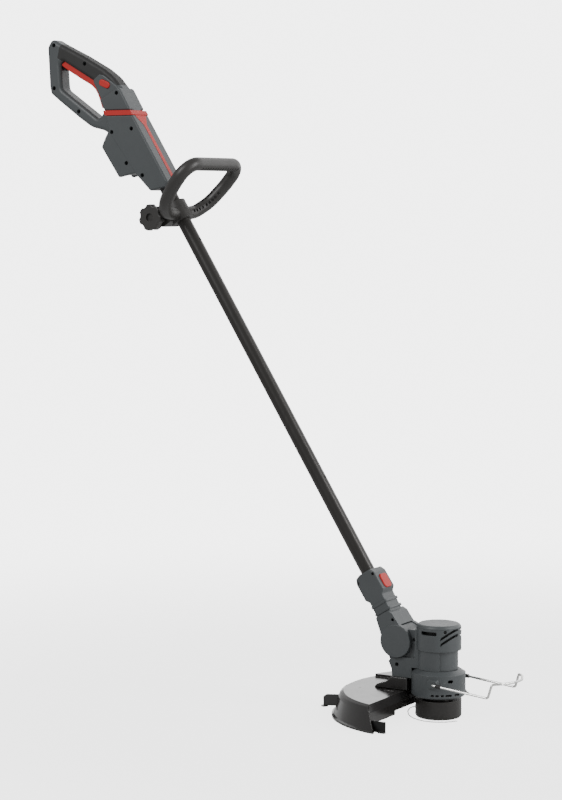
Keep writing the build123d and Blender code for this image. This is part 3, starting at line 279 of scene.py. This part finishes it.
def finish(
    name, colour, second, gloss=0.5, spread=0.1, cloud_scale=30.0, grain_scale=1500.0,
    grain_depth=0.1, worn=(0.3, 0.3, 0.3), wear=0.4, edge=0.6, stretch=None, turned=0.0, **constant
):
    """A material from the two effects. stretch and turned draw its grain out along one way."""
    material, tree, shader = plain_material(name)
    place = new_node(tree, "ShaderNodeTexCoord").outputs["Object"]
    if stretch:
        drawn = new_node(tree, "ShaderNodeMapping")
        drawn.inputs["Rotation"].default_value = (0, turned, 0)
        drawn.inputs["Scale"].default_value = stretch
        wire_up(tree, place, drawn.inputs["Vector"])
        place = drawn.outputs["Vector"]
    grain = new_node(tree, "ShaderNodeGroup", node_tree=skin_grain)
    edges = new_node(tree, "ShaderNodeGroup", node_tree=edge_wear)
    bump = new_node(tree, "ShaderNodeBump")
    grain.inputs["Colour"].default_value = (*colour, 1)
    grain.inputs["Second colour"].default_value = (*second, 1)
    grain.inputs["Cloud scale"].default_value = cloud_scale
    grain.inputs["Grain scale"].default_value = grain_scale
    grain.inputs["Gloss"].default_value = gloss
    grain.inputs["Gloss spread"].default_value = spread
    edges.inputs["Worn colour"].default_value = (*worn, 1)
    edges.inputs["Amount"].default_value = wear
    edges.inputs["Radius"].default_value = edge * MM
    bump.inputs["Strength"].default_value = 0.6
    bump.inputs["Distance"].default_value = grain_depth * MM
    for group in (grain, edges):
        wire_up(tree, place, group.inputs["Vector"])
    wire_up(tree, grain.outputs["Colour"], edges.inputs["Colour"])
    wire_up(tree, edges.outputs["Colour"], shader.inputs["Base Color"])
    wire_up(tree, grain.outputs["Roughness"], shader.inputs["Roughness"])
    wire_up(tree, grain.outputs["Height"], bump.inputs["Height"])
    wire_up(tree, edges.outputs["Normal"], bump.inputs["Normal"])
    wire_up(tree, bump.outputs["Normal"], shader.inputs["Normal"])
    for socket, value in constant.items():
        shader.inputs[socket.replace("_", " ")].default_value = value
    return material


def dress(material, *nodes):
    """Puts one material on CAD nodes."""
    for node in nodes:
        for slot in frame["nodes"][node].material_slots:
            slot.material = material


shaft_turn = math.atan2(up_shaft.x, up_shaft.z)
tube_coat = finish(
    "tube_coat", (0.018, 0.0165, 0.015), (0.027, 0.025, 0.023), gloss=0.34, spread=0.16,
    cloud_scale=60, grain_scale=900, grain_depth=0.03, worn=(0.35, 0.34, 0.33), wear=0.5,
    stretch=(1, 1, 0.04), turned=-shaft_turn, Metallic=0.25,
)
dress(tube_coat, "shaft_tube")

# ---- Rear housing -------------------------------------------------------------------------------
# Two shells of grey glass-filled nylon, moulded with a fine spark grain and screwed together from
# the right side. The screws are blackened steel and sit deep in their bosses.
shell_grey = finish(
    "shell_grey", (0.050, 0.056, 0.059), (0.066, 0.073, 0.076), gloss=0.44, spread=0.13,
    cloud_scale=22, grain_scale=1600, grain_depth=0.02, worn=(0.26, 0.28, 0.285), wear=0.55,
    edge=0.8,
)
dress(shell_grey, "rear_shell_left", "rear_shell_right")
screw_black = finish(
    "screw_black", (0.012, 0.012, 0.012), (0.024, 0.023, 0.022), gloss=0.42, spread=0.2,
    cloud_scale=300, grain_scale=2500, grain_depth=0.03, worn=(0.3, 0.3, 0.3), wear=0.6,
    edge=0.25, Metallic=0.8,
)
# Near-black painted shade: it darkens the screw sockets and the slots behind the head's louvres.
painted_shade_black = finish(
    "painted_shade_black", (0.004, 0.004, 0.004), (0.010, 0.010, 0.010), gloss=0.6, spread=0.2,
    cloud_scale=500, grain_scale=3000, grain_depth=0.02, wear=0.2, edge=0.15,
)
dress(screw_black, "housing_screws")


def solid_boxes(node):
    """The lowest and highest corners of each separate solid in a CAD node."""
    shape = bmesh.new()
    shape.from_mesh(frame["nodes"][node].data)
    bmesh.ops.remove_doubles(shape, verts=shape.verts, dist=1e-6)
    waiting = set(shape.verts)
    boxes = []
    while waiting:
        reached = [waiting.pop()]
        corners = []
        while reached:
            vertex = reached.pop()
            corners.append(vertex.co.copy())
            for side in vertex.link_edges:
                other = side.other_vert(vertex)
                if other in waiting:
                    waiting.remove(other)
                    reached.append(other)
        low = Vector([min(corner[axis] for corner in corners) for axis in range(3)])
        high = Vector([max(corner[axis] for corner in corners) for axis in range(3)])
        boxes.append((low, high))
    shape.free()
    return sorted(boxes, key=lambda box: tuple(box[0]))


def growing_tree(name, sockets):
    """An empty Geometry Nodes tree with named sizes, a geometry in and a geometry out."""
    tree = bpy.data.node_groups.new(name, "GeometryNodeTree")
    tree.interface.new_socket("Start", in_out="INPUT", socket_type="NodeSocketGeometry")
    for socket, kind in sockets:
        tree.interface.new_socket(socket, in_out="INPUT", socket_type="NodeSocket" + kind)
    tree.interface.new_socket("Made", in_out="OUTPUT", socket_type="NodeSocketGeometry")
    return tree, new_node(tree, "NodeGroupInput"), new_node(tree, "NodeGroupOutput")


def close_tree(tree, shapes, given, result):
    """Ends a tree: its instances are made real and take the material."""
    real = new_node(tree, "GeometryNodeRealizeInstances")
    paint = new_node(tree, "GeometryNodeSetMaterial")
    wire_up(tree, shapes, real.inputs["Geometry"])
    wire_up(tree, real.outputs["Geometry"], paint.inputs["Geometry"])
    wire_up(tree, given.outputs["Material"], paint.inputs["Material"])
    wire_up(tree, paint.outputs["Geometry"], result.inputs["Made"])


def grown(name, tree, sizes, body, points=((0, 0, 0),)):
    """Runs a tree on some points and leaves its result as a plain mesh on one body."""
    start = bpy.data.meshes.new(name + "_start")
    start.from_pydata([tuple(point) for point in points], [], [])
    seed = bpy.data.objects.new(name + "_start", start)
    bpy.context.scene.collection.objects.link(seed)
    growing = seed.modifiers.new("growing", "NODES")
    growing.node_group = tree
    for item in tree.interface.items_tree:
        if item.in_out == "INPUT" and item.name in sizes:
            growing[item.identifier] = sizes[item.name]
    bpy.context.view_layer.update()
    ready = bpy.context.evaluated_depsgraph_get()
    mesh = bpy.data.meshes.new_from_object(seed.evaluated_get(ready), depsgraph=ready)
    bpy.data.objects.remove(seed)
    piece = bpy.data.objects.new(name, mesh)
    bpy.context.scene.collection.objects.link(piece)
    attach(piece, body)
    return piece


# A near-black hexagon on each screw head: painted shade standing in for the dark of its socket.
socket_shade_discs, given, result = growing_tree(
    "socket_shade_discs",
    [("Radius", "Float"), ("Depth", "Float"), ("Turn", "Vector"), ("Material", "Material")],
)
hexagon = new_node(socket_shade_discs, "GeometryNodeMeshCylinder")
hexagon.inputs["Vertices"].default_value = 6
spread_out = new_node(socket_shade_discs, "GeometryNodeInstanceOnPoints")
wire_up(socket_shade_discs, given.outputs["Start"], spread_out.inputs["Points"])
wire_up(socket_shade_discs, given.outputs["Radius"], hexagon.inputs["Radius"])
wire_up(socket_shade_discs, given.outputs["Depth"], hexagon.inputs["Depth"])
wire_up(socket_shade_discs, hexagon.outputs["Mesh"], spread_out.inputs["Instance"])
wire_up(socket_shade_discs, given.outputs["Turn"], spread_out.inputs["Rotation"])
close_tree(socket_shade_discs, spread_out.outputs["Instances"], given, result)

socket_shade_depth = 0.5 * MM
quarter = math.pi / 2


def socket_shades_in(node, name, body, radius):
    """A right-facing hexagon of painted socket shade on the right side of each screw's box. The cap
    screw's head looks out at an angle, so its own hexagon stands a little off it."""
    faces = [
        ((low.x + high.x) / 2, low.y, (low.z + high.z) / 2) for low, high in solid_boxes(node)
    ]
    sizes = {
        "Radius": radius * MM, "Depth": socket_shade_depth, "Turn": (quarter, 0, 0),
        "Material": painted_shade_black,
    }
    return grown(name, socket_shade_discs, sizes, body, faces)


# Painted shade in the sockets of the rear housing screws.
socket_shades_in("housing_screws", "housing_screw_socket_shades", "shaft", 1.5)

# ---- Red trim, trigger and lock-off -------------------------------------------------------------
# Smooth satin red mouldings: a belt and a stripe clipped between the shells, the trigger on its
# pin under the grip, and one cross bolt that must be pushed before the trigger moves.
signal_red = finish(
    "signal_red", (0.50, 0.012, 0.008), (0.43, 0.009, 0.006), gloss=0.48, spread=0.12,
    cloud_scale=45, grain_scale=1400, grain_depth=0.01, worn=(0.75, 0.25, 0.2), wear=0.4,
)
dress(signal_red, "red_band", "red_stripe", "trigger", "lock_off_bolt", "release_button")
bare_steel = finish(
    "bare_steel", (0.42, 0.42, 0.43), (0.55, 0.55, 0.56), gloss=0.32, spread=0.2,
    cloud_scale=120, grain_scale=1200, grain_depth=0.02, worn=(0.7, 0.7, 0.7), wear=0.5,
    edge=0.2, Metallic=1.0,
)
dress(bare_steel, "trigger_pin", "trigger_spring", "pivot_pin", "button_spring", "spindle")

# ---- Soft grip ----------------------------------------------------------------------------------
# A black thermoplastic rubber skin, moulded over the top of the D-shaped handle. It is dull, with
# paler rubbed patches where the palm lies.
grip_rubber = finish(
    "grip_rubber", (0.011, 0.011, 0.011), (0.019, 0.0185, 0.018), gloss=0.6, spread=0.2,
    cloud_scale=35, grain_scale=1100, grain_depth=0.03, worn=(0.09, 0.09, 0.09), wear=0.5,
)
dress(grip_rubber, "soft_grip")

# ---- Battery bay and wiring ---------------------------------------------------------------------
# Two nylon rails and a block of plated contacts in the socket under the housing, a circuit board
# and a switch above it, and the sheathed cable that runs down inside the tube.
nylon_black = finish(
    "nylon_black", (0.021, 0.020, 0.019), (0.032, 0.030, 0.028), gloss=0.42, spread=0.14,
    cloud_scale=28, grain_scale=1300, grain_depth=0.03, worn=(0.14, 0.135, 0.13), wear=0.5,
    edge=0.8,
)
dress(nylon_black, "battery_rails", "trigger_switch", "cooling_fan", "bottom_plate")
contact_metal = finish(
    "contact_metal", (0.55, 0.33, 0.16), (0.66, 0.43, 0.22), gloss=0.3, spread=0.2,
    cloud_scale=150, grain_scale=1500, grain_depth=0.02, worn=(0.8, 0.6, 0.4), wear=0.3,
    edge=0.2, Metallic=1.0,
)
dress(contact_metal, "battery_terminals", "motor_rotor")
board_green = finish(
    "board_green", (0.012, 0.10, 0.035), (0.02, 0.14, 0.05), gloss=0.3, spread=0.1,
    cloud_scale=200, grain_scale=800, grain_depth=0.05, wear=0.1, edge=0.2,
)
dress(board_green, "controller_board")
dress(grip_rubber, "power_cable")

# ---- Front loop handle --------------------------------------------------------------------------
# One black nylon moulding: the loop, its clamp round the tube and the two lugs that a bolt pulls
# together. A star knob with seven hollows turns on the bolt over a bright washer.
dress(nylon_black, "front_handle", "star_knob")
washer_zinc = finish(
    "washer_zinc", (0.60, 0.59, 0.55), (0.72, 0.71, 0.68), gloss=0.28, spread=0.2,
    cloud_scale=160, grain_scale=1800, grain_depth=0.02, worn=(0.8, 0.8, 0.8), wear=0.4,
    edge=0.2, Metallic=1.0,
)
dress(washer_zinc, "clamp_washer", "clamp_bolt", "spool_nut", "line_eyelet")

# ---- Neck ---------------------------------------------------------------------------------------
# Two grey shells screwed round the foot of the tube. They carry the two round cheeks of the tilt
# joint, and the red button that frees it.
dress(shell_grey, "neck_shell_left", "neck_shell_right")
dress(screw_black, "neck_screws")
# Painted shade in the sockets of the neck screws.
socket_shades_in("neck_screws", "neck_screw_socket_shades", "neck", 1.3)

# ---- Head ---------------------------------------------------------------------------------------
# Two grey shells round the motor, a cap on top and a deck ring below, all of the same nylon. Behind
# the louvres a ring of near-black slats paints the shade inside the head.
dress(shell_grey, "head_shell_left", "head_shell_right", "deck_ring", "motor_cap")
dress(screw_black, "head_screws", "guard_screws")
# Painted shade in the sockets of the head screws.
socket_shades_in("head_screws", "head_screw_socket_shades", "head", 1.4)


def block_row(name, curve_kind, smoothness, curve_sizes):
    """A tree that stands equal blocks along a curve and turns each one to follow it."""
    tree, given, result = growing_tree(
        name,
        [(size, "Float") for size in curve_sizes]
        + [
            ("Count", "Int"), ("Along", "Float"), ("Across", "Float"), ("Height", "Float"),
            ("Middle height", "Float"), ("Material", "Material"),
        ],
    )
    curve = new_node(tree, curve_kind)
    curve.inputs["Resolution"].default_value = smoothness
    lifted = new_node(tree, "GeometryNodeTransform")
    lift = new_node(tree, "ShaderNodeCombineXYZ")
    stops = new_node(tree, "GeometryNodeCurveToPoints")
    block = new_node(tree, "GeometryNodeMeshCube")
    block_size = new_node(tree, "ShaderNodeCombineXYZ")
    standing = new_node(tree, "GeometryNodeInstanceOnPoints")
    heading = new_node(tree, "FunctionNodeAlignEulerToVector", axis="X", pivot_axis="Z")
    for size in curve_sizes:
        wire_up(tree, given.outputs[size], curve.inputs[size])
    wire_up(tree, curve.outputs["Curve"], lifted.inputs["Geometry"])
    wire_up(tree, given.outputs["Middle height"], lift.inputs["Z"])
    wire_up(tree, lift.outputs["Vector"], lifted.inputs["Translation"])
    wire_up(tree, lifted.outputs["Geometry"], stops.inputs["Curve"])
    wire_up(tree, given.outputs["Count"], stops.inputs["Count"])
    wire_up(tree, stops.outputs["Tangent"], heading.inputs["Vector"])
    for size, axis in (("Along", "X"), ("Across", "Y"), ("Height", "Z")):
        wire_up(tree, given.outputs[size], block_size.inputs[axis])
    wire_up(tree, block_size.outputs["Vector"], block.inputs["Size"])
    wire_up(tree, stops.outputs["Points"], standing.inputs["Points"])
    wire_up(tree, block.outputs["Mesh"], standing.inputs["Instance"])
    wire_up(tree, heading.outputs["Rotation"], standing.inputs["Rotation"])
    close_tree(tree, standing.outputs["Instances"], given, result)
    return tree


slat_ring = block_row("slat_ring", "GeometryNodeCurvePrimitiveCircle", 64, ("Radius",))
# Near-black slats behind the louvres: painted shade for the inside of the head.
grown(
    "louvre_shade_slats", slat_ring,
    {
        "Radius": 30.3 * MM, "Count": 54, "Along": 2.7 * MM, "Across": 0.8 * MM,
        "Height": 36 * MM, "Middle height": 134 * MM, "Material": painted_shade_black,
    },
    "head",
)

# ---- Motor --------------------------------------------------------------------------------------
# A plated steel can with its magnets and bearings, screwed to a plate above the deck ring. Its
# shaft carries the fan and, under the guard, the spool.
motor_plate = finish(
    "motor_plate", (0.33, 0.33, 0.34), (0.45, 0.45, 0.46), gloss=0.38, spread=0.16,
    cloud_scale=90, grain_scale=1000, grain_depth=0.02, worn=(0.6, 0.6, 0.6), wear=0.4,
    edge=0.3, Metallic=1.0,
)
dress(motor_plate, "motor_can", "motor_magnets", "motor_bearings", "motor_mount")

# ---- Guard --------------------------------------------------------------------------------------
# A half-round hood of glossy black polypropylene, held to the head by a bracket and three screws.
# A blackened steel blade at its right corner trims the line, and a tab stands at its back.
hood_gloss = finish(
    "hood_gloss", (0.010, 0.009, 0.0085), (0.018, 0.0165, 0.0155), gloss=0.2, spread=0.16,
    cloud_scale=14, grain_scale=260, grain_depth=0.03, worn=(0.22, 0.21, 0.2), wear=0.55,
    edge=1.0, Coat_Weight=0.35, Coat_Roughness=0.12,
)
dress(hood_gloss, "guard", "guard_bracket", "guard_tab")
blade_steel = finish(
    "blade_steel", (0.016, 0.016, 0.016), (0.03, 0.03, 0.03), gloss=0.34, spread=0.2,
    cloud_scale=120, grain_scale=1500, grain_depth=0.03, worn=(0.6, 0.6, 0.6), wear=0.9,
    edge=0.4, Metallic=0.8,
)
dress(blade_steel, "line_cutter")

# Thin ribs stand out like spokes under the hood's top and stiffen it.
rib_sweep = ("Radius", "Start Angle", "Sweep Angle")
spoke_ribs = block_row("spoke_ribs", "GeometryNodeCurveArc", 96, rib_sweep)
grown(
    "hood_ribs", spoke_ribs,
    {
        "Radius": 148 * MM, "Start Angle": math.radians(118), "Sweep Angle": math.radians(124),
        "Count": 15, "Along": 1.8 * MM, "Across": 34 * MM, "Height": 4 * MM,
        "Middle height": 40 * MM, "Material": hood_gloss,
    },
    "head",
)

# ---- Spool --------------------------------------------------------------------------------------
# A satin black cup, a base that closes it, and inside it the reel with its wound line. A steel
# eyelet lines the hole that the free end leaves by.
spool_satin = finish(
    "spool_satin", (0.010, 0.009, 0.008), (0.018, 0.0165, 0.015), gloss=0.36, spread=0.16,
    cloud_scale=40, grain_scale=1200, grain_depth=0.02, worn=(0.16, 0.15, 0.14), wear=0.7,
    edge=0.8,
)
dress(spool_satin, "spool_cap", "spool_base", "line_reel")
clear_nylon = finish(
    "clear_nylon", (0.80, 0.81, 0.78), (0.88, 0.88, 0.86), gloss=0.32, spread=0.1,
    cloud_scale=200, grain_scale=900, grain_depth=0.03, worn=(0.95, 0.95, 0.95), wear=0.2,
    edge=0.2, Transmission_Weight=0.25,
)
line_curve.materials.append(clear_nylon)
dress(clear_nylon, "wound_line", "cutting_line")

# ---- Plant guard --------------------------------------------------------------------------------
# One bright steel wire of 4 mm, bent into a loop that swings on the deck ring and holds stems off
# the line. Black rubber sleeves cover its arms where they enter their pads.
bright_wire = finish(
    "bright_wire", (0.72, 0.72, 0.70), (0.82, 0.82, 0.80), gloss=0.2, spread=0.14,
    cloud_scale=220, grain_scale=1600, grain_depth=0.015, worn=(0.9, 0.9, 0.9), wear=0.3,
    edge=0.2, Metallic=1.0,
)
dress(bright_wire, "plant_guard_wire")
dress(grip_rubber, "wire_sleeves")
